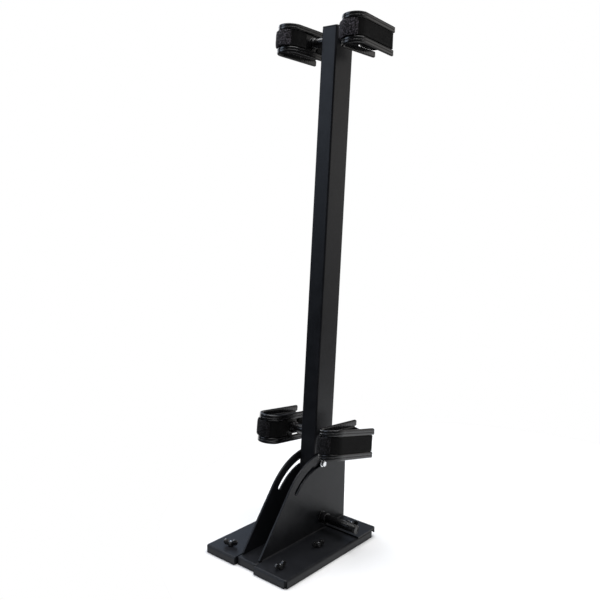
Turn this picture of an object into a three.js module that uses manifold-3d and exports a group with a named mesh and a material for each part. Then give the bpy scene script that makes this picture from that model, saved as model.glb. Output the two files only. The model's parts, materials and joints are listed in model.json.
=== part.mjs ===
// Tilting floor rack: a steel post that leans between two slotted side plates on a
// bent sheet base, with two pairs of strapped U cradles. Millimetres, +Z up, the front
// faces -Y. Everything is laid out from x = 0 (middle of the post), y = 0 (pivot axis)
// and z = 0 (floor); the whole model is then moved so that its origin is the middle of
// its footprint.
import * as THREE from 'three';
import { mergeVertices } from 'three/addons/utils/BufferGeometryUtils.js';
import Module from 'manifold-3d';

const wasm = await Module();
wasm.setup();

// ---------------------------------------------------------------- driving dimensions
const GAP = 0.3; // clearance kept between touching pieces
const SHEET = 3; // bent sheet steel of the base

const POST = { width: 31.75, depth: 50.8, wall: 2, corner: 3, bottom: -20, top: 854 };
// the post's lower front corner is cut off along a slant, in (y, z) from the pivot
const TOE_CUT = { front: -34.1, from: 22, to: 0.7, below: -34 };
const POST_LEAN = THREE.MathUtils.degToRad(2.53); // backwards, at rest
const CAP = { lidThick: 2.4, plugDeep: 12 };
const PIVOT_Z = 36.15;

const FOOT = { inner: 21, outer: 87, front: -179, rear: 63, top: 13.5, corner: 5, bend: 4 };
const FLANGE_Z = 0.6; // the flanges stop just above the floor
const CORNER_SLIT = { width: 4.2, reach: 9, top: 10 }; // the pans' outer corners are left open
const CHANNEL = { half: FOOT.inner - GAP, front: -173, rear: 62.7, corner: 4 };
const FLOOR_PLATE = { top: 8, inset: SHEET + 0.4, corner: 3 };
const STRIP = { half: 88, front: 15, rear: 69, bottom: 13.8, top: 16.5, corner: 4, lip: 8, notch: 34 };
const FILLET = { near: 20.1, reach: 2.6, front: -158 }; // weld between side plate and foot

const PLATE = { inner: 16.3, thick: 3.5, radius: 115, rear: 69, foot: FOOT.top + GAP };
const PLATE_FRONT_ANGLE = THREE.MathUtils.degToRad(51.6); // where the straight edge starts
const SLOT = { radius: 96.5, half: 4.25 };
const SLOT_TOP_ANGLE = THREE.MathUtils.degToRad(1.4);
const SLOT_END_ANGLE = THREE.MathUtils.degToRad(49);

const CLAMP_AHEAD = THREE.MathUtils.degToRad(4.13); // bolt ahead of the post's centre line
const CLAMP = { shank: 3, washer: 6.2, washerThick: 1.5, head: 8.4, headThick: 4.2, nutThick: 5, stub: 3 };
const PIVOT = { shank: 5, washer: 10, washerThick: 1.5, head: 16, headThick: 6.4 };
const NUT_FLATS = 10; // across the flats of the clamp and cross nuts
const PIVOT_BUSH = { radius: 7 };
const CLAMP_SPACER = 5; // radius
const HANDLE = { radius: 7, start: 32, end: 94, bore: 57, collar: 9, cap: 2.4, rim: 0.4, rimEdge: 0.6 };

const SCREW_XS = { left: -52, right: 56 };
const SCREW_YS = [-155, -57, 41];
const SCREW_TURNS = { left: [28, 65, 35], right: [86, 72, 44] }; // degrees, front to rear
const SCREW = { shank: 3, tip: 1, lift: 0.4, hub: 4.8, neck: 4, hubHeight: 7.6, hole: 4 };
const WING = { thick: 3.2, out: 7.2, up: 6.1, radius: 4.7, root: 1.2, notch: 2.6, saddle: 6.6 };
const WING_ARC = { from: -1.9, to: 2.4 }; // radians, round each lobe

const CRADLE = { x: 66.9, half: 22.35, front: -67.5, rear: 45.7, halfHeight: 25.5 };
const RAIL = { height: 11, thick: 5.9 };
const RECESS = 3; // how far the wall between the rails lies back from their outer face
const WALL = { end: 41, hem: -12.5 }; // the walls stop short of the rail tips; see cradleBody
const BOSS_RADIUS = 10.5;
const STANDOFF = { radius: 8, bore: 3.4, flange: 10, flangeThick: 2 };
const CROSS = { shank: 3, washer: 7, washerThick: 1.2, head: 5.6, headThick: 3, nutThick: 4 };
const STRAP = { halfHeight: 12.7, thick: 2.4, bulge: 25.4, start: -26, end: 3.5, mouth: 43.7 };

// each cradle: side of the post, its row, how many degrees its rear dips, and how many
// degrees further its outer arm droops than the arm that is bolted to the post
const CRADLES = [
  { name: 'upper_right', side: 1, row: 'upper', dip: -1.8, droop: 2.2 },
  { name: 'upper_left', side: -1, row: 'upper', dip: 0.99, droop: 0 },
  { name: 'lower_right', side: 1, row: 'lower', dip: 0.9, droop: 7.6 },
  { name: 'lower_left', side: -1, row: 'lower', dip: 2.4, droop: 0 },
];
const BOLT_ROWS = { upper: 834.2, lower: 146 };
const BOLT_Y = -8; // the cross bolts lie ahead of the post's centre line

// ------------------------------------------------------------------------- materials
const finishes = {
  steel_paint: { color: 0x101114, roughness: 0.5, metalness: 0.1 },
  cradle_rubber: { color: 0x0e0e10, roughness: 0.6, metalness: 0 },
  strap_fabric: { color: 0x09090a, roughness: 0.95, metalness: 0 },
  black_hardware: { color: 0x17181a, roughness: 0.35, metalness: 0.6 },
  handle_gloss: { color: 0x0a0a0c, roughness: 0.2, metalness: 0 },
  cap_plastic: { color: 0x131416, roughness: 0.55, metalness: 0 },
  zinc: { color: 0xd2d4d6, roughness: 0.3, metalness: 1 },
};

// --------------------------------------------------------------------------- helpers
function toSolid(geometry) {
  const bare = geometry.index ? geometry.toNonIndexed() : geometry.clone();
  bare.deleteAttribute('normal');
  bare.deleteAttribute('uv');
  const merged = mergeVertices(bare, 1e-4);
  return new wasm.Manifold(new wasm.Mesh({
    numProp: 3,
    vertProperties: new Float32Array(merged.attributes.position.array),
    triVerts: new Uint32Array(merged.index.array),
  }));
}

function toGeometry(solid) {
  const mesh = solid.getMesh();
  const geometry = new THREE.BufferGeometry();
  geometry.setAttribute('position', new THREE.BufferAttribute(mesh.vertProperties, 3));
  geometry.setIndex(new THREE.BufferAttribute(mesh.triVerts, 1));
  geometry.computeVertexNormals();
  return geometry;
}

function join(...geometries) {
  return toGeometry(geometries.map(toSolid).reduce((whole, piece) => whole.add(piece)));
}

function cut(geometry, ...tools) {
  return toGeometry(tools.reduce((rest, tool) => rest.subtract(toSolid(tool)), toSolid(geometry)));
}

function box(x0, x1, y0, y1, z0, z1) {
  const geometry = new THREE.BoxGeometry(x1 - x0, y1 - y0, z1 - z0);
  return geometry.translate((x0 + x1) / 2, (y0 + y1) / 2, (z0 + z1) / 2);
}

function extrudeZ(shape, z0, z1, curveSegments = 6) {
  const geometry = new THREE.ExtrudeGeometry(shape, { depth: z1 - z0, bevelEnabled: false, curveSegments });
  return geometry.translate(0, 0, z0);
}

// shape drawn in (y, z), pushed out along +X
function extrudeX(shape, x0, x1, curveSegments = 6) {
  const yAxis = new THREE.Vector3(0, 1, 0);
  const zAxis = new THREE.Vector3(0, 0, 1);
  const xAxis = new THREE.Vector3(1, 0, 0);
  const turn = new THREE.Matrix4().makeBasis(yAxis, zAxis, xAxis);
  return extrudeZ(shape, x0, x1, curveSegments).applyMatrix4(turn);
}

// shape drawn in (x, z), pushed out along Y
function extrudeY(shape, y0, y1, curveSegments = 6) {
  return extrudeZ(shape, -y1, -y0, curveSegments).rotateX(Math.PI / 2);
}

// closed profile of [x, radius] pairs, turned about the X axis
function turnedX(profile, segments = 20) {
  const points = profile.map(([x, radius]) => new THREE.Vector2(radius, x));
  return new THREE.LatheGeometry(points, segments).rotateZ(-Math.PI / 2);
}

function rodX(radius, x0, x1, segments = 16) {
  return turnedX([[x0, 0], [x0, radius], [x1, radius], [x1, 0]], segments);
}

function ringX(outer, inner, x0, x1, segments = 18) {
  return turnedX([[x0, inner], [x0, outer], [x1, outer], [x1, inner], [x0, inner]], segments);
}

function rodZ(radius, z0, z1, segments = 16) {
  return rodX(radius, z0, z1, segments).rotateY(-Math.PI / 2);
}

function hexagonX(acrossFlats, x0, x1) {
  return rodX(acrossFlats / Math.sqrt(3), x0, x1, 6);
}

function polygon(points) {
  return new THREE.Shape(points.map(([u, v]) => new THREE.Vector2(u, v)));
}

// points on an arc, from one angle to the other, both ends included
function arc(centreU, centreV, radius, from, to, steps) {
  return Array.from({ length: steps + 1 }, (_, i) => {
    const angle = from + ((to - from) * i) / steps;
    return [centreU + radius * Math.cos(angle), centreV + radius * Math.sin(angle)];
  });
}

function roundedRect(x0, x1, y0, y1, radius) {
  const shape = new THREE.Shape();
  shape.absarc(x1 - radius, y0 + radius, radius, -Math.PI / 2, 0);
  shape.absarc(x1 - radius, y1 - radius, radius, 0, Math.PI / 2);
  shape.absarc(x0 + radius, y1 - radius, radius, Math.PI / 2, Math.PI);
  shape.absarc(x0 + radius, y0 + radius, radius, Math.PI, 1.5 * Math.PI);
  return shape;
}

function addPart(parent, name, slot, geometry, x = 0, y = 0, z = 0) {
  const mesh = new THREE.Mesh(geometry, new THREE.MeshStandardMaterial(finishes[slot]));
  mesh.name = name;
  mesh.position.set(x, y, z);
  parent.add(mesh);
  return mesh;
}

// ------------------------------------------------------------------------------ base
// block with rounded top edges and plan corners, from the flange edge up to the foot top
function roundedBlock(x0, x1, y0, y1, corner, bend) {
  const geometry = new THREE.ExtrudeGeometry(roundedRect(x0, x1, y0, y1, corner), {
    depth: FOOT.top,
    bevelThickness: bend,
    bevelSize: bend,
    bevelOffset: -bend,
    bevelSegments: 4,
    curveSegments: 4,
  });
  geometry.translate(0, 0, -bend);
  return cut(geometry, box(x0 - 1, x1 + 1, y0 - 1, y1 + 1, -2 * bend - 1, FLANGE_Z));
}

// hollow-faced weld in the corner between a side plate and the sheet that it stands on
function fillet(side, sheetTop, y0, y1) {
  const { near, reach } = FILLET;
  const far = near + reach;
  const curve = arc(far, sheetTop + reach, reach, -Math.PI / 2, -Math.PI, 5);
  const outline = [...curve, [near, sheetTop + GAP], [FOOT.inner + GAP, sheetTop + GAP]];
  outline.push([FOOT.inner + GAP, sheetTop - 1], [far, sheetTop - 1]);
  return extrudeY(polygon(outline.map(([x, z]) => [side * x, z])), y0, y1);
}

function span(side, near, far) {
  return [side * near, side * far].sort((a, b) => a - b);
}

function screwX(side) {
  return side > 0 ? SCREW_XS.right : SCREW_XS.left;
}

// slanting cut through an outer corner of a foot, between its two flanges
function cornerSlit(side, y, turn) {
  const { width, reach, top } = CORNER_SLIT;
  const slit = box(-width / 2, width / 2, -reach, reach, -1, top);
  return slit.rotateZ(side * turn).translate(side * FOOT.outer, y, 0);
}

function foot(side) {
  const { inner, outer, front, rear, top, corner, bend } = FOOT;
  const trimmed = inner - 2 * corner; // cut back to the inner edge, which is square
  const block = roundedBlock(...span(side, trimmed, outer), front, rear, corner, bend);
  const trim = box(...span(side, trimmed - 1, inner), front - 1, rear + 1, -1, top + 1);
  const inside = span(side, inner + SHEET, outer - SHEET);
  const hollow = extrudeZ(roundedRect(...inside, front + SHEET, rear - SHEET, 2), -1, top - SHEET, 3);
  const holes = SCREW_YS.map((y) => rodZ(SCREW.hole, 0, 20).translate(screwX(side), y, 0));
  const slits = [cornerSlit(side, front, Math.PI / 4), cornerSlit(side, rear, -Math.PI / 4)];
  const pan = cut(block, trim, hollow, ...holes, ...slits);
  return join(pan, fillet(side, top, FILLET.front, STRIP.front - GAP));
}

function floorPlate(side) {
  const { top, inset, corner } = FLOOR_PLATE;
  const across = span(side, FOOT.inner + inset, FOOT.outer - inset);
  const slab = extrudeZ(roundedRect(...across, FOOT.front + inset, FOOT.rear - inset, corner), 0, top, 3);
  const thread = SCREW.shank + GAP + 0.1;
  const threads = SCREW_YS.map((y) => rodZ(thread, -1, top + 1).translate(screwX(side), y, 0));
  return cut(slab, ...threads);
}

function centreChannel() {
  const { half, front, rear, corner } = CHANNEL;
  const block = roundedBlock(-half, half, front, rear, corner, SHEET);
  const inside = half - SHEET;
  return cut(block, box(-inside, inside, front + SHEET, rear - SHEET, -1, FOOT.top - SHEET));
}

function crossStrip() {
  const { half, front, rear, bottom, top, corner, lip, notch } = STRIP;
  const cornerX = half - corner;
  const cornerY = rear - corner;
  const up = Math.PI / 2;
  const edge = [
    ...arc(cornerX, cornerY, corner, 0, up, 6),
    ...arc(-cornerX, cornerY, corner, up, Math.PI, 6),
  ];
  const bore = corner - SHEET;
  const insideEdge = [
    ...arc(-cornerX, cornerY, bore, Math.PI, up, 6),
    ...arc(cornerX, cornerY, bore, up, 0, 6),
  ];
  const sheet = extrudeZ(polygon([[-half, front], [half, front], ...edge]), bottom, top);
  const ring = extrudeZ(polygon([...edge, ...insideEdge]), lip, bottom + 1);
  const clearOfFeet = box(-half - 1, half + 1, front, FOOT.rear + GAP, lip - 1, bottom);
  const postRoom = box(-PLATE.inner, PLATE.inner, front - 1, notch, bottom - 1, top + 1);
  const welds = [-1, 1].map((side) => fillet(side, top, front, rear - 2));
  const screwY = SCREW_YS[SCREW_YS.length - 1];
  const holes = [-1, 1].map((side) => rodZ(SCREW.hole, 0, 30).translate(screwX(side), screwY, 0));
  return cut(join(sheet, cut(ring, clearOfFeet), ...welds), postRoom, ...holes);
}

// upright plate: round top, straight slanting front edge, arc slot for the clamp bolt
function sidePlate(side) {
  const { inner, thick, radius, rear, foot: footZ } = PLATE;
  const up = Math.PI / 2;
  const tipHeight = 2;
  const top = arc(0, PIVOT_Z, radius, Math.acos(rear / radius), up + PLATE_FRONT_ANGLE, 28);
  const [edgeY, edgeZ] = top[top.length - 1];
  const tipY = edgeY - (edgeZ - footZ - tipHeight) / Math.tan(PLATE_FRONT_ANGLE);
  const outline = polygon([
    ...top,
    [tipY, footZ + tipHeight],
    [tipY, footZ],
    [STRIP.front - GAP, footZ],
    [STRIP.front - GAP, STRIP.top + GAP],
    [rear, STRIP.top + GAP],
  ]);
  const start = up + SLOT_TOP_ANGLE;
  const end = up + SLOT_END_ANGLE;
  const [startY, startZ] = arc(0, PIVOT_Z, SLOT.radius, start, start, 1)[0];
  const [endY, endZ] = arc(0, PIVOT_Z, SLOT.radius, end, end, 1)[0];
  const slot = polygon([
    ...arc(0, PIVOT_Z, SLOT.radius + SLOT.half, start, end, 16),
    ...arc(endY, endZ, SLOT.half, end, end + Math.PI, 8).slice(1),
    ...arc(0, PIVOT_Z, SLOT.radius - SLOT.half, end, start, 16).slice(1),
    ...arc(startY, startZ, SLOT.half, start + Math.PI, start + 2 * Math.PI, 8).slice(1, -1),
  ]);
  const pivotHole = polygon(arc(0, PIVOT_Z, PIVOT.shank + 0.6, 0, 2 * Math.PI, 20).slice(1));
  outline.holes.push(slot, pivotHole);
  return extrudeX(outline, ...span(side, inner, inner + thick));
}

// ----------------------------------------------------------------------- wing screws
function wingScrew(sheetTop) {
  const { shank, tip, lift, hub, neck, hubHeight } = SCREW;
  const seat = sheetTop + lift;
  const body = new THREE.LatheGeometry([
    new THREE.Vector2(0, tip),
    new THREE.Vector2(shank, tip),
    new THREE.Vector2(shank, seat),
    new THREE.Vector2(hub, seat),
    new THREE.Vector2(neck, seat + hubHeight),
    new THREE.Vector2(0, seat + hubHeight),
  ], 16).rotateX(Math.PI / 2);
  const { thick, out, up, radius, root, notch, saddle } = WING;
  const lobe = arc(out, up, radius, WING_ARC.from, WING_ARC.to, 10);
  const half = [[0, root], [neck, root], ...lobe, [notch, saddle], [0, saddle]];
  const mirrored = half.slice(1, -1).reverse().map(([u, v]) => [-u, v]);
  const outline = [...half, ...mirrored].map(([u, v]) => [u, v + seat]);
  return join(body, extrudeY(polygon(outline), -thick / 2, thick / 2));
}

// ------------------------------------------------------------------ post and fittings
function postTube() {
  const { width, depth, wall, corner, bottom, top } = POST;
  const halfWidth = width / 2;
  const halfDepth = depth / 2;
  const section = roundedRect(-halfWidth, halfWidth, -halfDepth, halfDepth, corner);
  const insideX = halfWidth - wall;
  const insideY = halfDepth - wall;
  section.holes.push(roundedRect(-insideX, insideX, -insideY, insideY, corner - wall));
  const tube = extrudeZ(section, bottom, top, 4);
  const { front, from, to, below } = TOE_CUT;
  const toe = extrudeX(polygon([[front, from], [to, below], [front, below]]), -width, width);
  const bolt = clampPlace();
  const clearance = GAP + 0.1;
  const holes = [
    rodX(PIVOT_BUSH.radius + GAP, -width, width),
    rodX(CLAMP.shank + clearance, -width, width).translate(0, bolt.y, bolt.z),
    ...Object.values(BOLT_ROWS).map((z) => (
      rodX(CROSS.shank + clearance, -width, width).translate(0, BOLT_Y, z)
    )),
  ];
  return cut(tube, toe, ...holes);
}

function postCap() {
  const { width, depth, wall, corner, top } = POST;
  const { lidThick, plugDeep } = CAP;
  const outline = roundedRect(-width / 2, width / 2, -depth / 2, depth / 2, corner);
  const lid = extrudeZ(outline, top + GAP, top + GAP + lidThick, 4);
  const halfX = width / 2 - wall - GAP - 0.1;
  const halfY = depth / 2 - wall - GAP - 0.1;
  return join(lid, box(-halfX, halfX, -halfY, halfY, top - plugDeep, top + 1));
}

// the clamp bolt's centre, in the post's own frame
function clampPlace() {
  return { y: -SLOT.radius * Math.sin(CLAMP_AHEAD), z: SLOT.radius * Math.cos(CLAMP_AHEAD) };
}

function nutX(acrossFlats, bore, x0, x1) {
  return cut(hexagonX(acrossFlats, x0, x1), rodX(bore, x0 - 1, x1 + 1));
}

function addClamp(post) {
  const { shank, washer, washerThick, head, headThick, nutThick, stub } = CLAMP;
  const { y, z } = clampPlace();
  const face = PLATE.inner + PLATE.thick + GAP;
  const seat = face + washerThick + GAP;
  const insideHalf = POST.width / 2 - POST.wall - GAP;
  const bore = shank + GAP;
  const bolt = join(rodX(shank, -seat - nutThick - stub, seat + 1), hexagonX(head, seat, seat + headThick));
  addPart(post, 'clamp_bolt', 'zinc', bolt, 0, y, z);
  addPart(post, 'clamp_washer_right', 'zinc', ringX(washer, bore, face, face + washerThick), 0, y, z);
  addPart(post, 'clamp_washer_left', 'zinc', ringX(washer, bore, -face - washerThick, -face), 0, y, z);
  addPart(post, 'clamp_nut', 'zinc', nutX(NUT_FLATS, bore, -seat - nutThick, -seat), 0, y, z);
  addPart(post, 'clamp_spacer', 'zinc', ringX(CLAMP_SPACER, bore, -insideHalf, insideHalf), 0, y, z);
}

function addPivot(base) {
  const { shank, washer, washerThick, head, headThick } = PIVOT;
  const face = PLATE.inner + PLATE.thick + GAP;
  const seat = face + washerThick + GAP;
  const bore = shank + GAP;
  const bushHalf = PLATE.inner - GAP;
  const bolt = join(rodX(shank, -seat - 1, HANDLE.bore - 2), hexagonX(head, -seat - headThick, -seat));
  addPart(base, 'pivot_bolt', 'black_hardware', bolt, 0, 0, PIVOT_Z);
  addPart(base, 'pivot_bush', 'zinc', ringX(PIVOT_BUSH.radius, bore, -bushHalf, bushHalf), 0, 0, PIVOT_Z);
  const leftWasher = ringX(washer, bore, -face - washerThick, -face);
  const rightWasher = ringX(washer, bore, face, face + washerThick);
  addPart(base, 'pivot_washer_left', 'black_hardware', leftWasher, 0, 0, PIVOT_Z);
  addPart(base, 'pivot_washer_right', 'black_hardware', rightWasher, 0, 0, PIVOT_Z);
  const collar = ringX(HANDLE.collar, bore, seat, HANDLE.start - GAP);
  addPart(base, 'pivot_collar', 'black_hardware', collar, 0, 0, PIVOT_Z);
  const { radius, start, end, bore: boreEnd, cap, rim: rimOut, rimEdge } = HANDLE;
  const grip = turnedX([
    [boreEnd, 0],
    [boreEnd, bore],
    [start, bore],
    [start, radius],
    [end - cap - GAP, radius],
    [end - cap - GAP, 0],
  ], 24);
  addPart(base, 'pivot_handle', 'handle_gloss', grip, 0, 0, PIVOT_Z);
  const rim = turnedX([
    [end - cap, 0],
    [end - cap, radius + rimOut],
    [end - rimEdge, radius + rimOut],
    [end, radius - rimOut],
    [end, 0],
  ], 24);
  addPart(base, 'handle_end_cap', 'handle_gloss', rim, 0, 0, PIVOT_Z);
}

// --------------------------------------------------------------------------- cradles
// Laid out with the outer arm at +X and the arm beside the post at -X; the front is the
// round bend, and the open mouth faces +Y.
function uBand(outer, inner, rear, z0, z1) {
  const centre = CRADLE.front + CRADLE.half;
  const outline = [
    [-outer, rear],
    ...arc(0, centre, outer, Math.PI, 2 * Math.PI, 14),
    [outer, rear],
    [inner, rear],
    ...arc(0, centre, inner, 2 * Math.PI, Math.PI, 14),
    [-inner, rear],
  ];
  return extrudeZ(polygon(outline), z0, z1);
}

// two rails joined by a wall, which leaves a slot over the lower rail of the bolted arm
function cradleBody() {
  const { half, rear, halfHeight } = CRADLE;
  const inside = half - RAIL.thick;
  const railEdge = halfHeight - RAIL.height;
  const web = railEdge + 0.7;
  const wall = half - RECESS;
  const pieces = [
    uBand(half, inside, rear, railEdge, halfHeight),
    uBand(half, inside, rear, -halfHeight, -railEdge),
    uBand(wall, inside, BOLT_Y, -web, web),
    box(inside, wall, BOLT_Y - 1, WALL.end, -web, web),
    box(-wall, -inside, BOLT_Y - 1, WALL.end, WALL.hem, web),
    rodX(BOSS_RADIUS, -half, -inside, 24).translate(0, BOLT_Y, 0),
  ];
  return cut(join(...pieces), rodX(STANDOFF.bore, -half - 1, 0).translate(0, BOLT_Y, 0));
}

// webbing round the bend, along the outer arm, across the mouth and back to the boss
function cradleStrap() {
  const { halfHeight, thick, bulge, start, end, mouth } = STRAP;
  const centre = CRADLE.front + CRADLE.half;
  const inner = CRADLE.half - RECESS + GAP;
  const outer = inner + thick;
  const outline = [
    [-outer, start],
    ...arc(0, centre, bulge, Math.PI, 2 * Math.PI, 14),
    [outer, start],
    [outer, mouth - 1],
    [outer - 1, mouth],
    [-outer + 1, mouth],
    [-outer, mouth - 1],
    [-outer, end],
    [-inner, end],
    [-inner, mouth - thick],
    [inner, mouth - thick],
    ...arc(0, centre, inner, 2 * Math.PI, Math.PI, 14),
    [-inner, start],
  ];
  return extrudeZ(polygon(outline), -halfHeight, halfHeight);
}

// the cradles on the left are mirror images of those on the right
function handed(geometry, side) {
  return side > 0 ? geometry : toGeometry(toSolid(geometry).mirror([1, 0, 0]));
}

// the flexible U twists from the bolted arm, which stays true, to the drooping outer arm
function drooping(geometry, slope) {
  const inside = CRADLE.half - RAIL.thick;
  const position = geometry.attributes.position;
  for (let i = 0; i < position.count; i += 1) {
    const share = Math.max(0, (position.getX(i) + inside) / (CRADLE.half + inside));
    position.setZ(i, position.getZ(i) - slope * share * (position.getY(i) - BOLT_Y));
  }
  geometry.computeVertexNormals();
  return geometry;
}

function addCradle(post, { name, side, row, dip, droop }) {
  const z = BOLT_ROWS[row];
  const mount = new THREE.Group();
  mount.position.set(side * CRADLE.x, BOLT_Y, z);
  mount.rotation.x = THREE.MathUtils.degToRad(-dip);
  post.add(mount);
  const slope = Math.tan(THREE.MathUtils.degToRad(droop));
  const body = handed(drooping(cradleBody(), slope), side);
  const strap = handed(drooping(cradleStrap(), slope), side);
  addPart(mount, `cradle_${name}`, 'cradle_rubber', body, 0, -BOLT_Y);
  addPart(mount, `strap_${name}`, 'strap_fabric', strap, 0, -BOLT_Y);

  const armNear = CRADLE.x - CRADLE.half;
  const armFar = armNear + RAIL.thick + GAP;
  const { radius, bore, flange, flangeThick } = STANDOFF;
  const sleeveEnd = armNear - GAP;
  const sleeve = ringX(radius, bore, ...span(side, POST.width / 2 + GAP, sleeveEnd));
  const collar = ringX(flange, bore, ...span(side, sleeveEnd - flangeThick, sleeveEnd));
  addPart(post, `standoff_${name}`, 'black_hardware', join(sleeve, collar), 0, BOLT_Y, z);
  const washer = ringX(CROSS.washer, CROSS.shank + GAP, ...span(side, armFar, armFar + CROSS.washerThick));
  addPart(post, `cradle_washer_${name}`, 'black_hardware', washer, 0, BOLT_Y, z);
}

function addCrossBolt(post, row) {
  const z = BOLT_ROWS[row];
  const seat = CRADLE.x - CRADLE.half + RAIL.thick + CROSS.washerThick + 2 * GAP;
  const { shank, head, headThick, nutThick } = CROSS;
  const bolt = join(rodX(shank, -seat - nutThick - 0.6, seat + 1), rodX(head, seat, seat + headThick, 24));
  addPart(post, `cross_bolt_${row}`, 'black_hardware', bolt, 0, BOLT_Y, z);
  const nut = nutX(NUT_FLATS, shank + GAP, -seat - nutThick, -seat);
  addPart(post, `cross_nut_${row}`, 'black_hardware', nut, 0, BOLT_Y, z);
}

// -------------------------------------------------------------------------- assembly
const rack = new THREE.Group();
const sides = [['left', -1], ['right', 1]];
for (const [word, side] of sides) {
  addPart(rack, `foot_${word}`, 'steel_paint', foot(side));
  addPart(rack, `floor_plate_${word}`, 'steel_paint', floorPlate(side));
  addPart(rack, `side_plate_${word}`, 'steel_paint', sidePlate(side));
  SCREW_YS.forEach((y, i) => {
    const geometry = wingScrew(y > STRIP.front ? STRIP.top : FOOT.top);
    const screw = addPart(rack, `wing_screw_${word}_${i + 1}`, 'black_hardware', geometry, screwX(side), y);
    screw.rotation.z = THREE.MathUtils.degToRad(SCREW_TURNS[word][i]);
  });
}
addPart(rack, 'center_channel', 'steel_paint', centreChannel());
addPart(rack, 'rear_cross_strip', 'steel_paint', crossStrip());
addPivot(rack);

const post = new THREE.Group();
post.position.z = PIVOT_Z;
post.rotation.x = -POST_LEAN;
rack.add(post);
addPart(post, 'post_tube', 'steel_paint', postTube());
addPart(post, 'post_cap', 'cap_plastic', postCap());
addClamp(post);
CRADLES.forEach((cradle) => addCradle(post, cradle));
Object.keys(BOLT_ROWS).forEach((row) => addCrossBolt(post, row));

// the origin is the middle of the model's box, on the floor
rack.updateMatrixWorld(true);
const bounds = new THREE.Box3().setFromObject(rack, true);
const middle = bounds.getCenter(new THREE.Vector3());
rack.position.set(-middle.x, -middle.y, -bounds.min.z);

export default rack;
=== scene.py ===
"""Looks for the tilting floor rack: powder-coated steel, moulded cradles and hook-and-loop straps."""
import json
import math
from collections import namedtuple

import bmesh
import bpy
from mathutils import Matrix, Vector, noise


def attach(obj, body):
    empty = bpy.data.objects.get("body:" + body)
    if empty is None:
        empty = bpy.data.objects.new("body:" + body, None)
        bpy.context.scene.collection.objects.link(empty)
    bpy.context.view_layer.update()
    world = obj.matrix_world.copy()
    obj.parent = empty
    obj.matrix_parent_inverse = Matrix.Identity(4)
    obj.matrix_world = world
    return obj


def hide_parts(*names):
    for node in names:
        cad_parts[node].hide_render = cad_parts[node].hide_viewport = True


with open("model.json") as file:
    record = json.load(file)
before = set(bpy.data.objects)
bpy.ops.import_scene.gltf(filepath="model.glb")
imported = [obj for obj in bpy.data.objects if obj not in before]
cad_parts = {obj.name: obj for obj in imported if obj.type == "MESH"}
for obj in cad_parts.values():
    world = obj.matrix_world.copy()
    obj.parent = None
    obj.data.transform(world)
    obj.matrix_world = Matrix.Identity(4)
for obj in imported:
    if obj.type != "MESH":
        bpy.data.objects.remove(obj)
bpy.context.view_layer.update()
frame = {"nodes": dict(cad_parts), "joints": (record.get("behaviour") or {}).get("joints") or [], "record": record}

MM = 0.001
X_AXIS = Vector((1, 0, 0))
Z_AXIS = Vector((0, 0, 1))


# ------------------------------------------------------------------ places from the frame
def joint_place(name):
    return Vector(next(j for j in frame["joints"] if j["name"] == name)["pos_m"])


PIVOT = joint_place("post_tilt")
POST_X = PIVOT.x
LEAN = math.radians(2.53)
BOLT_Y = -8.0  # the cross bolts lie ahead of the post's centre line
BOLT_ROWS = {"upper": 834.2, "lower": 146.0}

# layout frames in millimetres: about the pivot axis, and in the post's own directions
MILLIMETRES = Matrix.Scale(MM, 4)
LEANING = Matrix.Rotation(-LEAN, 4, X_AXIS)
PIVOT_FRAME = Matrix.Translation(PIVOT) @ MILLIMETRES
POST_FRAME = Matrix.Translation(PIVOT) @ LEANING @ MILLIMETRES
CLAMP_FRAME = Matrix.Translation(joint_place("clamp_bolt_turn")) @ LEANING @ MILLIMETRES
MIRROR = Matrix.Scale(-1, 4, X_AXIS)
UPRIGHT = Matrix.Rotation(-math.pi / 2, 4, "Y")

# How each cradle sits: its side of the post, then in degrees how far its rear dips from square,
# how much further its outer arm droops, how far it has turned clockwise (from above) on its
# bolt, and how far its strap pulls the outer arm in.
Seat = namedtuple("Seat", "side dip droop askew pull")
CRADLES = {
    "upper_right": Seat(1, -1.5, 3.0, -0.7, 0.6),
    "upper_left": Seat(-1, 0.99, 0.0, 4.6, 1.0),
    "lower_right": Seat(1, 0.9, 7.4, 1.8, 0.0),
    "lower_left": Seat(-1, 2.4, 0.0, 2.0, 0.0),
}


def cradle_frame(name):
    seat = CRADLES[name]
    place = joint_place(f"cradle_{name}_swivel")
    turn = Matrix.Rotation(-LEAN - math.radians(seat.dip), 4, X_AXIS)
    turn = turn @ Matrix.Rotation(-math.radians(seat.askew), 4, Z_AXIS)
    handed = Matrix.Identity(4) if seat.side > 0 else MIRROR
    behind_bolt = Matrix.Translation((0, -BOLT_Y, 0))
    return Matrix.Translation(place) @ turn @ MILLIMETRES @ behind_bolt @ handed


def bolt_frame(row):
    return POST_FRAME @ Matrix.Translation((0, BOLT_Y, BOLT_ROWS[row]))


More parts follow.
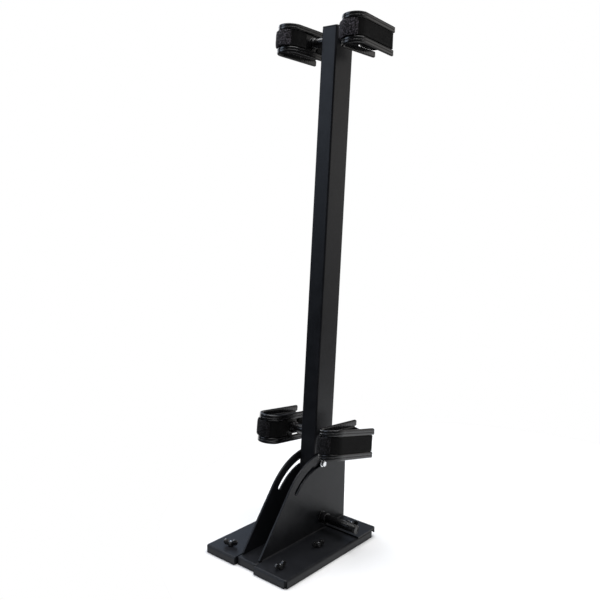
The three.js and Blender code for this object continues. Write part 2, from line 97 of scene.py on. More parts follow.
# ------------------------------------------------------------------------------ materials
class Shader:
    """A Principled material with a few short ways to add texture nodes."""

    def __init__(self, name, **values):
        self.material = bpy.data.materials.new(name)
        self.material.use_nodes = True
        self.nodes = self.material.node_tree.nodes
        self.links = self.material.node_tree.links
        self.principled = self.nodes["Principled BSDF"]
        for socket, value in values.items():
            self.principled.inputs[socket.replace("_", " ")].default_value = value
        self.place = self.nodes.new("ShaderNodeTexCoord").outputs["Object"]

    def node(self, kind, inputs=None, **settings):
        made = self.nodes.new(kind)
        for key, value in settings.items():
            setattr(made, key, value)
        for key, value in (inputs or {}).items():
            if isinstance(value, bpy.types.NodeSocket):
                self.links.new(value, made.inputs[key])
            else:
                made.inputs[key].default_value = value
        return made

    def noise(self, scale, detail=3.0, roughness=0.6):
        values = {"Vector": self.place, "Scale": scale}
        values.update({"Detail": detail, "Roughness": roughness})
        return self.node("ShaderNodeTexNoise", values).outputs["Fac"]

    def ramp(self, value, low, high, out_low, out_high):
        values = {"Value": value, "From Min": low, "From Max": high}
        values.update({"To Min": out_low, "To Max": out_high})
        return self.node("ShaderNodeMapRange", values).outputs["Result"]

    def math(self, operation, a, b):
        return self.node("ShaderNodeMath", {0: a, 1: b}, operation=operation).outputs[0]

    def colour(self, factor, dark, light):
        values = {0: factor, 6: (*dark, 1), 7: (*light, 1)}
        made = self.node("ShaderNodeMix", values, data_type="RGBA")
        self.links.new(made.outputs[2], self.principled.inputs["Base Color"])

    def roughness(self, value):
        self.links.new(value, self.principled.inputs["Roughness"])

    def bump(self, height, distance, strength):
        values = {"Height": height, "Distance": distance, "Strength": strength}
        made = self.node("ShaderNodeBump", values)
        self.links.new(made.outputs["Normal"], self.principled.inputs["Normal"])


def powder_coat():
    """Satin black powder coat: fine orange peel, faint mottling and a trace of dust."""
    s = Shader("powder_coat", Specular_IOR_Level=0.20)
    peel = s.noise(950, 2.0)
    mottle = s.noise(45, 4.0)
    speck = s.ramp(s.noise(2600, 1.0), 0.66, 0.74, 0.0, 1.0)
    s.colour(s.math("ADD", s.math("MULTIPLY", mottle, 0.6), s.math("MULTIPLY", speck, 0.35)),
             (0.0058, 0.0063, 0.0076), (0.0195, 0.0206, 0.0240))
    s.roughness(s.ramp(mottle, 0.3, 0.7, 0.30, 0.40))
    s.bump(peel, 0.00012, 0.55)
    return s.material


def moulded_rubber():
    """Black moulded rubbery plastic with a fine spark-eroded grain and a soft sheen."""
    s = Shader("moulded_rubber", Specular_IOR_Level=0.5)
    grain = s.noise(1500, 2.0)
    cloud = s.noise(60, 3.0)
    s.colour(cloud, (0.004, 0.004, 0.0043), (0.010, 0.010, 0.0105))
    s.roughness(s.ramp(cloud, 0.3, 0.7, 0.17, 0.28))
    s.bump(grain, 0.00005, 0.4)
    return s.material


def strap_webbing():
    """Woven side of the strap: fine ribs across its width, with warp threads between them."""
    s = Shader("strap_webbing", Specular_IOR_Level=0.10, Sheen_Weight=0.01, Sheen_Roughness=0.5)
    run = s.node("ShaderNodeUVMap", uv_map="run").outputs["UV"]
    rib = s.node("ShaderNodeTexWave", {"Vector": run, "Scale": 210.0, "Distortion": 0.6, "Detail": 1.0},
                 bands_direction="X").outputs["Fac"]
    warp = s.node("ShaderNodeTexWave", {"Vector": run, "Scale": 340.0, "Distortion": 0.8, "Detail": 1.0},
                  bands_direction="Y").outputs["Fac"]
    weave = s.math("MULTIPLY", rib, s.ramp(warp, 0.0, 1.0, 0.55, 1.0))
    # the colour follows the weave's height: darker down between ribs and threads, as painted shade, and it also
    # varies at random, as wear
    worn_and_groove_shade = s.math("MULTIPLY", weave, s.ramp(s.noise(520, 4.0, 0.8), 0.35, 0.72, 0.35, 1.3))
    s.colour(worn_and_groove_shade, (0.0018, 0.0018, 0.0019), (0.010, 0.010, 0.0102))
    s.roughness(s.ramp(weave, 0.0, 1.0, 0.85, 0.6))
    s.bump(s.math("ADD", weave, s.math("MULTIPLY", s.noise(2500), 0.3)), 0.0003, 0.9)
    return s.material


def strap_loop(name, painted_glint_level):
    """Brushed loop side of the strap: a mat of tiny curled fibres, with painted glints as light flecks in its
    colour.
    """
    s = Shader(name, Specular_IOR_Level=0.15, Sheen_Weight=0.02, Sheen_Roughness=0.5)
    run = s.node("ShaderNodeUVMap", uv_map="run").outputs["UV"]
    curl = s.node("ShaderNodeTexVoronoi", {"Vector": run, "Scale": 1100.0, "Randomness": 0.9},
                  feature="SMOOTH_F1").outputs["Distance"]
    fuzz = s.noise(1700, 4.0, 0.75)
    mat = s.math("ADD", s.math("MULTIPLY", curl, 0.7), s.math("MULTIPLY", fuzz, 0.6))
    tuft = s.ramp(s.noise(420, 3.0, 0.85), 0.48, 0.60, 0.0, 1.0)
    # the light flecks in the loop mat are painted glints, not fibre colour, and the level passed in sets how
    # bright they are
    painted_glint = tuple(painted_glint_level * c for c in (0.24, 0.22, 0.26))
    s.colour(s.math("MULTIPLY", s.ramp(mat, 0.3, 0.9, 0.5, 1.0), tuft), (0.0015, 0.0015, 0.0017), painted_glint)
    s.roughness(s.ramp(tuft, 0.0, 1.0, 0.8, 0.5))
    s.bump(s.math("ADD", mat, tuft), 0.0008, 1.0)
    return s.material


def black_oxide():
    """Black oxide hardware: dark, slightly oily metal."""
    s = Shader("black_oxide", Metallic=0.0, Specular_IOR_Level=0.5)
    stain = s.noise(220, 4.0)
    s.colour(stain, (0.004, 0.004, 0.0045), (0.012, 0.012, 0.013))
    s.roughness(s.ramp(stain, 0.3, 0.7, 0.16, 0.3))
    s.bump(s.noise(1800, 2.0), 0.00004, 0.5)
    return s.material


def bright_zinc():
    """Bright zinc plate with faint turning marks."""
    s = Shader("bright_zinc", Metallic=1.0)
    cloud = s.noise(350, 4.0)
    s.colour(cloud, (0.62, 0.63, 0.65), (0.84, 0.85, 0.86))
    s.roughness(s.ramp(cloud, 0.3, 0.7, 0.18, 0.32))
    s.bump(s.noise(2600, 2.0), 0.00002, 0.4)
    return s.material


def gloss_handle():
    """Glossy black dipped or moulded handle."""
    s = Shader("gloss_handle", Specular_IOR_Level=0.4)
    cloud = s.noise(40, 2.0)
    s.colour(cloud, (0.003, 0.003, 0.0033), (0.008, 0.008, 0.0085))
    s.roughness(s.ramp(cloud, 0.3, 0.7, 0.24, 0.30))
    s.bump(s.noise(900, 2.0), 0.00002, 0.2)
    return s.material


def cap_plastic():
    """Matt black tube insert."""
    s = Shader("cap_plastic", Specular_IOR_Level=0.45)
    grain = s.noise(1200, 3.0)
    s.colour(s.noise(80), (0.005, 0.005, 0.0055), (0.012, 0.012, 0.0125))
    s.roughness(s.ramp(grain, 0.3, 0.7, 0.42, 0.55))
    s.bump(grain, 0.0001, 0.6)
    return s.material


POWDER = powder_coat()
RUBBER = moulded_rubber()
WEBBING = strap_webbing()
# the lower cradles' loop side is a darker copy of the same material: painted shade for the lesser light that falls
# on them, with dimmer painted glints
LOOPS = {"upper": strap_loop("strap_loop_lit", 1.0), "lower": strap_loop("strap_loop_shaded", 0.16)}
OXIDE = black_oxide()
ZINC = bright_zinc()
GLOSS = gloss_handle()
CAP = cap_plastic()
SLOTS = {
    "steel_paint": POWDER,
    "cradle_rubber": RUBBER,
    "strap_fabric": WEBBING,
    "black_hardware": OXIDE,
    "handle_gloss": GLOSS,
    "cap_plastic": CAP,
    "zinc": ZINC,
}
NODE_SLOT = {entry["node"]: entry["material_slot"] for entry in frame["record"]["subparts"]}
BODIES = frame["record"]["behaviour"]["bodies"]
NODE_BODY = {node: body for body, nodes in BODIES.items() for node in nodes}


# ------------------------------------------------------------------------------- building
def add_piece(name, bm, nodes, place=None, material=None, smooth=35.0):
    """Turns a bmesh into a piece that stands for CAD nodes and rides on their body."""
    if place is not None:
        bmesh.ops.transform(bm, matrix=place, verts=bm.verts)
    bmesh.ops.recalc_face_normals(bm, faces=bm.faces)
    mesh = bpy.data.meshes.new(name)
    bm.to_mesh(mesh)
    bm.free()
    mesh.shade_smooth()
    mesh.set_sharp_from_angle(angle=math.radians(smooth))
    piece = bpy.data.objects.new(name, mesh)
    bpy.context.scene.collection.objects.link(piece)
    piece.data.materials.append(material or SLOTS[NODE_SLOT[nodes[0]]])
    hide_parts(*nodes)
    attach(piece, NODE_BODY[nodes[0]])
    return piece


def refined(node, bevel):
    """The CAD shape with its flat faces made whole and its edges rounded off."""
    bm = bmesh.new()
    bm.from_mesh(frame["nodes"][node].data)
    bmesh.ops.remove_doubles(bm, verts=bm.verts, dist=0.01 * MM)
    bmesh.ops.dissolve_limit(bm, angle_limit=math.radians(0.6), verts=bm.verts, edges=bm.edges)
    sharp = [e for e in bm.edges if e.is_manifold and e.calc_face_angle(0) > math.radians(32)]
    bmesh.ops.bevel(bm, geom=sharp, offset=bevel * MM, segments=3, profile=0.5,
                    affect="EDGES", clamp_overlap=True)
    piece = add_piece(f"{node}_skin", bm, [node], smooth=50)
    piece.modifiers.new("weighted normals", "WEIGHTED_NORMAL").keep_sharp = True


def turned(profile, segments, loop=False):
    """A bmesh turned about X from (x, radius) pairs.

    A radius of 0 closes the end, and loop joins the last ring to the first.
    """
    bm = bmesh.new()
    rings = []
    for x, radius in profile:
        if radius == 0:
            rings.append([bm.verts.new((x, 0, 0))] * segments)
            continue
        angles = (2 * math.pi * i / segments for i in range(segments))
        rings.append([bm.verts.new((x, radius * math.cos(a), radius * math.sin(a))) for a in angles])
    if loop:
        rings.append(rings[0])
    for a, b in zip(rings, rings[1:]):
        for i in range(segments):
            j = (i + 1) % segments
            corners = []
            for vert in (a[i], a[j], b[j], b[i]):
                if vert not in corners:
                    corners.append(vert)
            bm.faces.new(corners)
    return bm


def rounded(points, radius, steps=4):
    """A closed outline of (u, v) corners with each corner cut back and rounded."""
    out = []
    count = len(points)
    for i, (u, v) in enumerate(points):
        here = Vector((u, v))
        before = Vector(points[i - 1]) - here
        after = Vector(points[(i + 1) % count]) - here
        reach = min(radius, before.length * 0.49, after.length * 0.49)
        start = here + before.normalized() * reach
        end = here + after.normalized() * reach
        for k in range(steps + 1):
            t = k / steps
            spot = start * (1 - t) ** 2 + here * 2 * t * (1 - t) + end * t * t
            out.append((spot.x, spot.y))
    return out


def sweep(path, section_at):
    """Sweeps a closed section along a plan path. section_at(gone, left) gives (outward, height) pairs."""
    bm = bmesh.new()
    run_layer = bm.loops.layers.uv.new("run")
    travelled = [0.0]
    for a, b in zip(path, path[1:]):
        travelled.append(travelled[-1] + (b[0] - a[0]).length)
    rings = []
    for (spot, outward), gone in zip(path, travelled):
        ring = []
        for off, height in section_at(gone, travelled[-1] - gone):
            ring.append(bm.verts.new((spot.x + outward.x * off, spot.y + outward.y * off, height)))
        rings.append(ring)
    count = len(rings[0])
    for i, (a, b) in enumerate(zip(rings, rings[1:])):
        for k in range(count):
            m = (k + 1) % count
            face = bm.faces.new((a[k], a[m], b[m], b[k]))
            runs = (travelled[i], travelled[i], travelled[i + 1], travelled[i + 1])
            for corner, run in zip(face.loops, runs):
                corner[run_layer].uv = (run * MM, corner.vert.co.z * MM)
    for ring in (rings[0], rings[-1]):
        cap = bm.faces.new(ring)
        for corner in cap.loops:
            corner[run_layer].uv = (corner.vert.co.x * MM, corner.vert.co.z * MM)
    return bm


def merge(*parts):
    """Several bmeshes as one."""
    whole = bmesh.new()
    for part in parts:
        mesh = bpy.data.meshes.new("scrap")
        part.to_mesh(mesh)
        part.free()
        whole.from_mesh(mesh)
        bpy.data.meshes.remove(mesh)
    return whole


# --------------------------------------------------------------------------- plain pieces
EDGES = {
    "foot_left": 0.7,
    "foot_right": 0.7,
    "center_channel": 0.7,
    "rear_cross_strip": 1.3,
    "floor_plate_left": 0.6,
    "floor_plate_right": 0.6,
    "side_plate_left": 0.5,
    "side_plate_right": 0.5,
    "post_tube": 0.4,
    "post_cap": 0.9,
    "clamp_bolt": 0.6,
    "clamp_nut": 0.35,
    "cross_nut_upper": 0.35,
    "cross_nut_lower": 0.35,
    "pivot_bolt": 0.6,
}
EDGES.update({f"wing_screw_{side}_{i}": 0.75 for side in ("left", "right") for i in (1, 2, 3)})
for node_name, edge in EDGES.items():
    refined(node_name, edge)


# ------------------------------------------------------------------------- turned hardware
def add_washer(node, frame_at, near, far, inner, outer):
    """A washer or sleeve from x = near to x = far, with softened edges."""
    profile = rounded([(near, inner), (near, outer), (far, outer), (far, inner)], 0.4, 3)
    add_piece(f"{node}_ring", turned(profile, 56, True), [node], frame_at)


for word, flip in (("right", Matrix.Identity(4)), ("left", MIRROR)):
    add_washer(f"clamp_washer_{word}", CLAMP_FRAME @ flip, 20.1, 21.6, 3.3, 6.2)
    add_washer(f"pivot_washer_{word}", PIVOT_FRAME @ flip, 20.1, 21.6, 5.3, 10)
    for row in BOLT_ROWS:
        add_washer(f"cradle_washer_{row}_{word}", bolt_frame(row) @ flip, 50.75, 51.95, 3.3, 7)
        sleeve = [(16.2, 3.4), (16.2, 8), (41.4, 8), (42.1, 10), (44.2, 10), (44.2, 3.4)]
        add_piece(f"standoff_{row}_{word}_sleeve", turned(rounded(sleeve, 0.8), 72, True),
                  [f"standoff_{row}_{word}"], bolt_frame(row) @ flip)
add_washer("pivot_bush", PIVOT_FRAME, -16, 16, 5.3, 7)
add_washer("clamp_spacer", CLAMP_FRAME, -13.5, 13.5, 3.3, 5)

CROSS_BOLT = [(-56.8, 0), (-56.8, 2.4), (-56.2, 3), (52.3, 3), (52.3, 5.5), (53.6, 5.6), (54.7, 5.0),
              (55.2, 3.8), (55.3, 2.4), (55.1, 2.1), (53.6, 2.0), (53.6, 0)]
for row in BOLT_ROWS:
    add_piece(f"cross_bolt_{row}_turned", turned(CROSS_BOLT, 48), [f"cross_bolt_{row}"], bolt_frame(row))

HANDLE_GRIP = [(57, 0), (57, 5.3), (32.2, 5.3), (32.2, 6.3), (32.5, 6.8), (33, 7), (90.6, 7), (91.1, 6.8),
               (91.3, 6.3), (91.3, 0)]
HANDLE_CAP = [(91.6, 0), (91.6, 6.9), (91.9, 7.35), (92.4, 7.5), (93.1, 7.45), (93.7, 7.1), (94, 6.5),
              (93.8, 5.9), (93.3, 5.6), (92.8, 5.3), (92.7, 0)]
add_piece("pivot_handle_grip", turned(HANDLE_GRIP, 80), ["pivot_handle"], PIVOT_FRAME)
add_piece("handle_end_cap_rim", turned(HANDLE_CAP, 80), ["handle_end_cap"], PIVOT_FRAME)


SCREW_TOPS = (21.5, 21.5, 24.5)  # millimetres over the floor, front to rear
STUD = [(-1, 0), (-1, 1.6), (0.3, 1.6), (0.75, 1.2), (0.95, 0)]
for word in ("left", "right"):
    for number, top in enumerate(SCREW_TOPS, 1):
        spot = joint_place(f"wing_{word}_{number}_turn")
        stud_frame = Matrix.Translation((spot.x, spot.y, top * MM)) @ MILLIMETRES @ UPRIGHT
        add_piece(f"wing_screw_{word}_{number}_stud", turned(STUD, 24), [f"wing_screw_{word}_{number}"],
                  stud_frame, ZINC)


def add_collar():
    """The collar that the handle stands on, with shallow grip flutes round it."""
    bm = turned(rounded([(22, 5.3), (22, 9.2), (31.7, 9.2), (31.7, 5.3)], 0.9, 4), 144, True)
    for vert in bm.verts:
        radius = math.hypot(vert.co.y, vert.co.z)
        if radius > 8.4:
            angle = math.atan2(vert.co.z, vert.co.y)
            scale = 1 - 0.045 * (0.5 - 0.5 * math.cos(18 * angle))
            vert.co.y *= scale
            vert.co.z *= scale
    add_piece("pivot_collar_fluted", bm, ["pivot_collar"], PIVOT_FRAME)


add_collar()

# ------------------------------------------------------------------------------- cradles
# In a cradle's own frame the outer arm lies at +X, the arm beside the post at -X, and the
# round bend faces -Y.
HALF = 22.35  # from the cradle's middle to the outside of an arm
BEND_Y = -45.15  # where the arms run into the round bend
REAR = 45.7
LOW_REAR = 43.2  # the lower rail stops short on the outer arm
RAIL_LOW = 14.6
RAIL_HIGH = 25.4
RAIL_DEPTH = 5.6
WALL_OUTER = 3
WALL_INNER = 5.5
WALL_TOP = 15.4
WALL_END = 41
WALL_HEM = -12.4  # the bolted arm's wall leaves a slot over the lower rail
RIB_STEP = 5.2  # between the ribs on a cradle's inner faces
RIB_HEIGHT = 0.3
RIB_FACE = -5.0  # a section's points that lie deeper than this carry the ribs
END_DEPTH = 1.4  # over which a rail's end is rounded off
END_INSET = 0.22  # share of its section that is lost there
STEP = 1.3  # between the sections of a swept cradle


def u_path(radius, start, end, step, turns=32):
    """Plan path round a cradle, from y = start on the bolted arm to y = end on the outer arm."""
    path = []
    count = math.ceil((start - BEND_Y) / step)
    for i in range(count):
        path.append((Vector((-radius, start + (BEND_Y - start) * i / count)), Vector((-1, 0))))
    path += bend_path(Vector((0, BEND_Y)), radius, math.pi, 2 * math.pi, turns)
    count = math.ceil((end - BEND_Y) / step)
    for i in range(1, count + 1):
        path.append((Vector((radius, BEND_Y + (end - BEND_Y) * i / count)), Vector((1, 0))))
    return path


def bend_path(centre, radius, start, end, steps):
    path = []
    for i in range(steps + 1):
        angle = start + (end - start) * i / steps
        outward = Vector((math.cos(angle), math.sin(angle)))
        path.append((centre + outward * radius, outward))
    return path


def straight_path(start, end, outward, step):
    start, end = Vector(start), Vector(end)
    count = max(1, math.ceil((end - start).length / step))
    return [(start.lerp(end, i / count), Vector(outward)) for i in range(count + 1)]


def with_end_points(path):
    """The same path with extra points close to its ends, so that the ends can be rounded off."""
    def near(first, second):
        length = (second[0] - first[0]).length
        return [(first[0].lerp(second[0], d / length), first[1]) for d in (0.25, 0.7, 1.4)]

    first_points = near(path[0], path[1])
    last_points = near(path[-1], path[-2])[::-1]
    return path[:1] + first_points + path[1:-1] + last_points + path[-1:]


def soft_ends(outline, centre):
    """Section that shrinks towards its centre within a short way of either end."""
    mid_u, mid_v = centre

    def section(gone, left):
        near = min(gone, left, END_DEPTH) / END_DEPTH
        scale = 1 - END_INSET * (1 - math.sqrt(1 - (1 - near) ** 2))
        return [(mid_u + (u - mid_u) * scale, mid_v + (v - mid_v) * scale) for u, v in outline]

    return section


def twisted(bm, name):
    """Twists a cradle's mesh from the bolted arm, which stays true, to the outer arm, which
    droops and is pulled in."""
    fall = math.tan(math.radians(CRADLES[name].droop))
    squeeze = math.tan(math.radians(CRADLES[name].pull))
    inside = HALF - RAIL_DEPTH - 0.3
    for vert in bm.verts:
        share = max(0.0, (vert.co.x + inside) / (HALF + inside))
        vert.co.z -= fall * share * (vert.co.y - BOLT_Y)
        vert.co.x -= squeeze * share * max(0.0, vert.co.y - BEND_Y)
    return bm


def ribbed(section_at):
    """The same section, with its innermost points standing out in fine upright ribs."""
    def section(gone, left):
        rib = RIB_HEIGHT * max(0.0, math.cos(2 * math.pi * gone / RIB_STEP)) ** 3
        return [(u - rib if u < RIB_FACE else u, v) for u, v in section_at(gone, left)]

    return section


def wall_section(low, high):
    """Section of the thin web between the rails."""
    inner, outer = -WALL_INNER, -WALL_OUTER
    outline = rounded([(inner, low), (outer, low), (outer, high), (inner, high)], 0.5, 2)
    return ribbed(lambda gone, left: outline)


def add_cradle_body(name):
    """Two rails round the U with a thin ribbed wall between them, and the boss for the bolt."""
    middle = (RAIL_LOW + RAIL_HIGH) / 2 - 0.1
    groove = [(-0.1, middle - 0.6), (-0.8, middle), (-0.1, middle + 0.6)]
    below = [(-RAIL_DEPTH, RAIL_LOW), (-0.1, RAIL_LOW)]
    above = [(-0.1, RAIL_HIGH), (-RAIL_DEPTH, RAIL_HIGH)]
    rail = rounded(below + groove + above, 2.3, 5)
    parts = []
    for sign, end in ((1, REAR), (-1, LOW_REAR)):
        side = [(u, sign * v) for u, v in rail]
        loop = with_end_points(u_path(HALF, REAR, end, STEP))
        parts.append(sweep(loop, ribbed(soft_ends(side, (-3, sign * 20)))))
    parts.append(sweep(u_path(HALF, BOLT_Y, WALL_END, STEP), wall_section(-WALL_TOP, WALL_TOP)))
    bolted_arm = straight_path((-HALF, WALL_END), (-HALF, BOLT_Y), (-1, 0), STEP)
    parts.append(sweep(bolted_arm, wall_section(WALL_HEM, WALL_TOP)))
    boss = turned(rounded([(-22.3, 3.5), (-22.3, 10.5), (-16.5, 10.5), (-16.5, 3.5)], 1.0), 56, True)
    bmesh.ops.translate(boss, vec=(0, BOLT_Y, 0), verts=boss.verts)
    parts.append(boss)
    bm = twisted(merge(*parts), name)
    add_piece(f"cradle_{name}_body", bm, [f"cradle_{name}"], cradle_frame(name))


# ------------------------------------------------------------------------------- straps
STRAP_R = 19.75  # inner face of the webbing, round the bend
STRAP_HALF = 13.4  # half the width of the webbing
STRAP_THICK = 1.95
STRAP_START = -26  # on the bolted arm, in front of the bolt
STRAP_END = 3.5  # on the bolted arm, behind the bolt
MOUTH_Y = 41.3
CORNER_R = 1.6  # where the strap turns across the mouth
RIB_PITCH = 2.1
FINE = 0.52  # between sections, fine enough to show the ribs
LOOP_HALF = 12.9  # from the middle to where the loop layer's edge starts to roll over
LOOP_ROWS = 34


def strap_webbing_mesh():
    """Ribbed webbing round the bend, along the outer arm, over its tip and across the mouth."""
    turn_y = MOUTH_Y - CORNER_R
    across = STRAP_R - CORNER_R
    path = u_path(STRAP_R, STRAP_START, turn_y, FINE, 128)
    path += bend_path(Vector((across, turn_y)), CORNER_R, 0, math.pi / 2, 10)[1:]
    path += straight_path((across, MOUTH_Y), (-across, MOUTH_Y), (0, 1), FINE)[1:]
    path += bend_path(Vector((-across, turn_y)), CORNER_R, math.pi / 2, math.pi, 10)[1:]
    path += straight_path((-STRAP_R, turn_y), (-STRAP_R, STRAP_END), (-1, 0), FINE)[1:]
    rows = [-11.2, -8.5, -5.5, -2.5, 0, 2.5, 5.5, 8.5, 11.2]

    def section(gone, left):
        rib = 0.10 * math.cos(2 * math.pi * gone / RIB_PITCH)
        edge = STRAP_HALF - 0.12 * (1 + math.sin(gone * 3.1))
        thin = 1 - 0.45 * max(0.0, 1 - min(gone, left) / 0.8)
        outer = [(STRAP_THICK + rib, row) for row in rows]
        rim = [(0.3, -edge), (1.0, -edge - 0.1), (1.9, -edge + 0.2), (2.15, -11.9)]
        points = [(0, -11.9)] + rim + outer + [(u, -v) for u, v in reversed(rim)] + [(0, 11.9)]
        return [(1 + (u - 1) * thin, v) for u, v in points]

    return sweep(path, section)


# the brushed loop layer: where it starts and ends round the bend (degrees, 180 on the bolted
# arm, 360 on the outer arm), and how thick it is at each end
LOOP_LAYERS = {
    "upper_right": (180, 318, 6.2, 2.6),
    "lower_right": (180, 302, 5.6, 2.8),
    "upper_left": (221, 360, 3.2, 3.9),
    "lower_left": (234, 360, 3.2, 3.9),
}


def loop_layer_mesh(name):
    """The loop side of the strap, wound over the webbing and standing a little proud and furry."""
    first, last, thick_first, thick_last = LOOP_LAYERS[name]
    radius = STRAP_R + STRAP_THICK + 0.2
    before = STRAP_START + 1.5 if first == 180 else BEND_Y + 0.7
    behind = -12 if last == 360 else BEND_Y + 0.7
    path = []
    for spot, outward in u_path(radius, before, behind, 0.7, 112):
        angle = math.degrees(math.atan2(outward.y, outward.x)) % 360
        angle = 360 if angle < 1 else angle
        if first <= angle <= last:
            path.append((spot, outward))
    seed = Vector((sorted(CRADLES).index(name) * 37.0, 0, 0))  # so that no two straps match
    rows = [LOOP_HALF * (2 * i / LOOP_ROWS - 1) for i in range(LOOP_ROWS + 1)]

    def section(gone, left):
        part = gone / (gone + left)
        thick = thick_first + (thick_last - thick_first) * part ** 0.8
        tongue = min(1.0, (min(gone, left) + 0.6) / 5.0)
        height = 0.72 + 0.28 * math.sqrt(1 - (1 - tongue) ** 2)
        open_end = gone if first > 180 else left
        thick *= 0.04 + 0.96 * math.sin(math.pi / 2 * min(1.0, open_end / 12.0)) ** 0.8
        wave = 0.32 * noise.noise(Vector((gone * 0.13, 0, 3)) + seed)
        outer = []
        for row in rows:
            roll = 0.19 * thick * (abs(row) / LOOP_HALF) ** 6
            spot = Vector((gone, row, 0)) + seed
            fur = 0.30 * noise.noise(spot * 0.5) + 0.38 * noise.noise(spot * 1.6)
            outer.append((thick - roll + wave + fur, row))
        ragged = 0.35 * noise.noise(Vector((gone * 1.7, 9, 0)) + seed)
        ends = [(0, -12.5), (thick * 0.3, -13.7 - ragged), (thick * 0.7, -13.6 + ragged)]
        far_ends = [(thick * 0.7, 13.6 + ragged), (thick * 0.3, 13.7 - ragged), (0, 12.5)]
        return [(u, v * height) for u, v in ends + outer + far_ends]

    return sweep(path, section)


def add_strap(name):
    place = cradle_frame(name)
    node = [f"strap_{name}"]
    row = name.split("_")[0]
    webbing = twisted(strap_webbing_mesh(), name)
    add_piece(f"strap_{name}_webbing", webbing, node, place, WEBBING)
    loop_layer = twisted(loop_layer_mesh(name), name)
    add_piece(f"strap_{name}_loop_layer", loop_layer, node, place, LOOPS[row], 60)


for cradle_name in CRADLES:
    add_cradle_body(cradle_name)
    add_strap(cradle_name)

for node_name, node_object in frame["nodes"].items():
    node_object.data.materials.clear()
    node_object.data.materials.append(SLOTS[NODE_SLOT[node_name]])

# ---------------------------------------------------------------------------------- stage
FLOOR_RADIUS = 0.62
FLOOR_MIDDLE = Vector((0.24, 0.30))
# the world's colours, from dark surroundings to the lit patches in them
AMBIENT = (0.05, 0.05, 0.054)
SWEEP = (0.95, 0.92, 0.89)
SWEEP_LOW = 0.35
WINDOW = (1.95, 2.25, 2.75)
LEFT_LAMP = (3.6, 3.6, 3.8)
SKY = (0.50, 0.62, 0.82)
LEFT_GLOW = (1.7, 1.7, 1.7)
TOP_WATTS = 73.0
# each lit patch's colour and place: degrees to the left of straight behind the object, degrees
# over the horizon, and the degrees from its middle where it ends and where it is full
PATCHES = (
    (WINDOW, (138.6, 21, 22, 9)),
    (LEFT_LAMP, (95, 48, 14, 6)),
    (SKY, (64, 30, 34, 12)),
    (LEFT_GLOW, (72, 2, 30, 12)),
)


def plain_floor():
    s = Shader("pale_floor", Roughness=0.9, Specular_IOR_Level=0.1)
    s.colour(s.noise(3.0), (0.87, 0.87, 0.87), (0.89, 0.89, 0.89))
    bm = bmesh.new()
    angles = (2 * math.pi * i / 128 for i in range(128))
    edge = [FLOOR_MIDDLE + FLOOR_RADIUS * Vector((math.cos(a), math.sin(a))) for a in angles]
    bm.faces.new([bm.verts.new((spot.x, spot.y, 0)) for spot in edge])
    mesh = bpy.data.meshes.new("floor")
    bm.to_mesh(mesh)
    bm.free()
    floor = bpy.data.objects.new("floor", mesh)
    bpy.context.scene.collection.objects.link(floor)
    floor.data.materials.append(s.material)


def soft_light(name, place, target, width, height, watts, colour):
    light = bpy.data.lights.new(name, "AREA")
    light.shape = "RECTANGLE"
    light.size = width
    light.size_y = height
    light.energy = watts
    light.color = colour
    lamp = bpy.data.objects.new(name, light)
    lamp.location = place
    lamp.rotation_euler = (Vector(target) - Vector(place)).to_track_quat("-Z", "Y").to_euler()
    bpy.context.scene.collection.objects.link(lamp)


class Surroundings:
    """The world's nodes, with short ways to light patches of it."""

    def __init__(self):
        world = bpy.data.worlds.new("studio")
        bpy.context.scene.world = world
        world.use_nodes = True
        self.tree = world.node_tree
        self.direction = self.tree.nodes.new("ShaderNodeTexCoord").outputs["Generated"]

    def node(self, kind, inputs, **settings):
        made = self.tree.nodes.new(kind)
        for key, value in settings.items():
            setattr(made, key, value)
        for key, value in inputs.items():
            if isinstance(value, bpy.types.NodeSocket):
                self.tree.links.new(value, made.inputs[key])
            else:
                made.inputs[key].default_value = value
        return made

    def towards(self, azimuth, elevation, wide, narrow):
        """1 within `narrow` degrees of a direction, falling smoothly to 0 at `wide` degrees."""
        a, e = math.radians(azimuth), math.radians(elevation)
        axis = (-math.sin(a) * math.cos(e), math.cos(a) * math.cos(e), math.sin(e))
        near = self.node("ShaderNodeVectorMath", {0: self.direction, 1: axis}, operation="DOT_PRODUCT")
        edge, core = math.cos(math.radians(wide)), math.cos(math.radians(narrow))
        return self.step(near.outputs["Value"], edge, core)

    def step(self, value, low, high, out_low=0.0, out_high=1.0):
        values = {"Value": value, "From Min": low, "From Max": high}
        values.update({"To Min": out_low, "To Max": out_high})
        return self.node("ShaderNodeMapRange", values, interpolation_type="SMOOTHSTEP").outputs["Result"]

    def times(self, a, b):
        return self.node("ShaderNodeMath", {0: a, 1: b}, operation="MULTIPLY").outputs[0]

    def add_light(self, total, amount, colour):
        scaled = self.node("ShaderNodeVectorMath", {0: colour, "Scale": amount}, operation="SCALE")
        values = {0: total, 1: scaled.outputs["Vector"]}
        return self.node("ShaderNodeVectorMath", values, operation="ADD").outputs["Vector"]


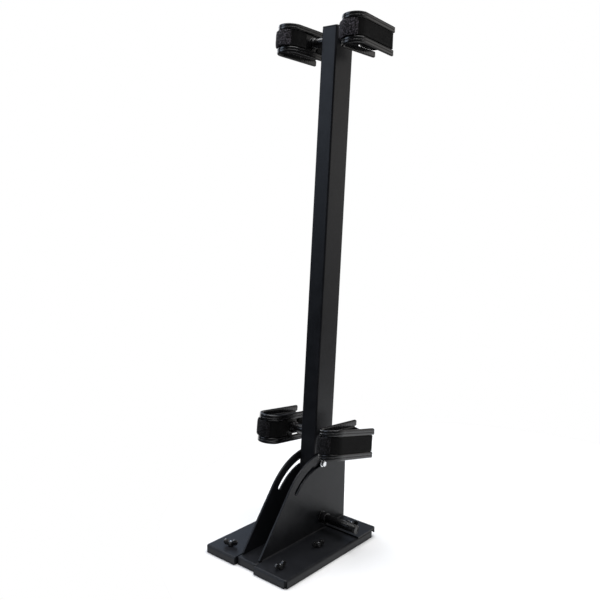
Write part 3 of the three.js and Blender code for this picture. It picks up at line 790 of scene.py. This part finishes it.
def studio():
    """A white sweep behind the object, a cool window at its front left and soft lamps at its left."""
    plain_floor()
    s = Surroundings()
    height = s.node("ShaderNodeSeparateXYZ", {0: s.direction}).outputs["Z"]
    sweep_amount = s.times(s.towards(-28, 0, 66, 40), s.step(height, 0.12, 0.52, 1.0, 0.0))
    sweep_amount = s.times(sweep_amount, s.step(height, -0.2, 0.05, SWEEP_LOW, 1.0))
    colour = s.add_light(AMBIENT, sweep_amount, SWEEP)
    for light, (azimuth, elevation, wide, narrow) in PATCHES:
        colour = s.add_light(colour, s.towards(azimuth, elevation, wide, narrow), light)
    seen = s.node("ShaderNodeLightPath", {}).outputs["Is Camera Ray"]
    mixed = s.node("ShaderNodeMix", {0: seen, 6: colour, 7: (1, 1, 1, 1)}, data_type="RGBA")
    background = s.tree.nodes["Background"]
    s.tree.links.new(mixed.outputs[2], background.inputs["Color"])
    soft_light("top_box", (0.15, 0.2, 2.3), (0.15, 0.2, 0), 2.2, 2.2, TOP_WATTS, (1, 1, 1))
    view = bpy.context.scene.view_settings
    view.view_transform = "Standard"
    view.look = "None"


def photo_camera():
    eye = Vector((POST_X + 0.7476, PIVOT.y - 1.0006, 0.5891))
    yaw, pitch, roll = (math.radians(angle) for angle in (41.41, -3.39, 1.23))
    ahead = Vector((-math.sin(yaw) * math.cos(pitch), math.cos(yaw) * math.cos(pitch), math.sin(pitch)))
    level_right = ahead.cross(Z_AXIS).normalized()
    level_up = level_right.cross(ahead)
    right = level_right * math.cos(roll) + level_up * math.sin(roll)
    up = level_up * math.cos(roll) - level_right * math.sin(roll)
    data = bpy.data.cameras.new("camera")
    data.sensor_width = 36
    data.lens = 43.0
    data.shift_x = 0.0643
    data.shift_y = -0.0948
    camera = bpy.data.objects.new("camera", data)
    turn = Matrix((right, up, -ahead)).transposed()
    camera.matrix_world = Matrix.Translation(eye) @ turn.to_4x4()
    bpy.context.scene.collection.objects.link(camera)
    bpy.context.scene.camera = camera


studio()
photo_camera()

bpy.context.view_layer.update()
